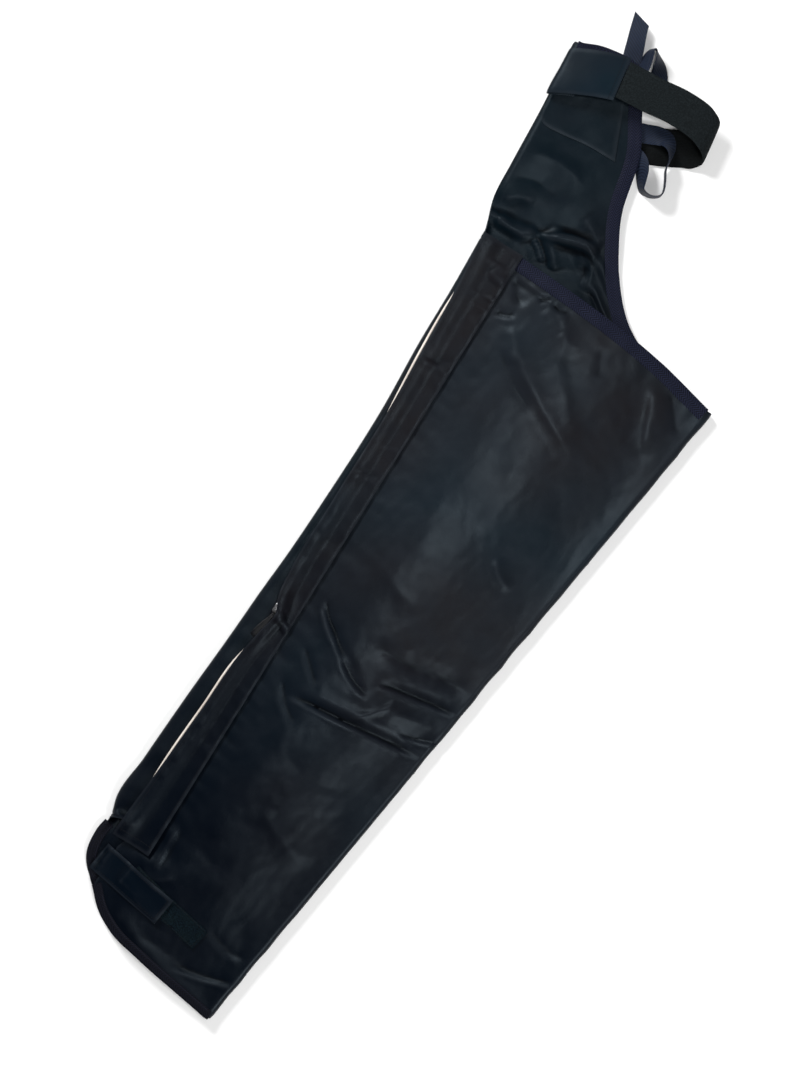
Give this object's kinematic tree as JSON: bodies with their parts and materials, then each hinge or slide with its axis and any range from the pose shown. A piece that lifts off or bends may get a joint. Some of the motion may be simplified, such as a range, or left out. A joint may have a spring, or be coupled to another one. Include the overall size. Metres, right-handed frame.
{
  "type": "riding chaps leg",
  "caption": "One leg of waterproof riding chaps lying flat, with a storm flap over a side zip, a hem tab, a hip panel and a looped waist band.",
  "frame": {"origin": "on the resting surface, below the middle of the bounding box", "axes": "+Y up the leg from hem to waist, +X across the leg from the outer fold to the inner fold, +Z away from the resting surface"},
  "size_m": [0.314, 1.0796, 0.0324],
  "materials": {
    "shell": "dark navy woven waterproof cloth with a faint sheen",
    "binding": "navy herringbone tape",
    "webbing": "navy twill webbing",
    "elastic": "matt green-black woven elastic",
    "hook_loop": "dark teal hook-and-loop pile",
    "piping": "off-white reflective cord",
    "zip": "black moulded coil and slider"
  },
  "bodies": {
    "root": {"leg_back_panel": "shell", "leg_front_panel": "shell", "storm_flap": "shell", "waist_facing": "shell", "waist_tab": "shell", "hem_tab": "shell", "reflective_piping": "piping", "zip_chain": "zip", "zip_slider": "zip", "zip_puller": "zip", "front_top_binding": "binding", "hip_binding": "binding", "waist_edge_binding": "binding", "rear_corner_binding": "binding", "hem_binding": "binding", "waist_elastic": "elastic", "webbing_lower_loop": "webbing", "webbing_upper_loop": "webbing", "webbing_end": "webbing", "hem_patch": "hook_loop"}
  },
  "joints": []
}
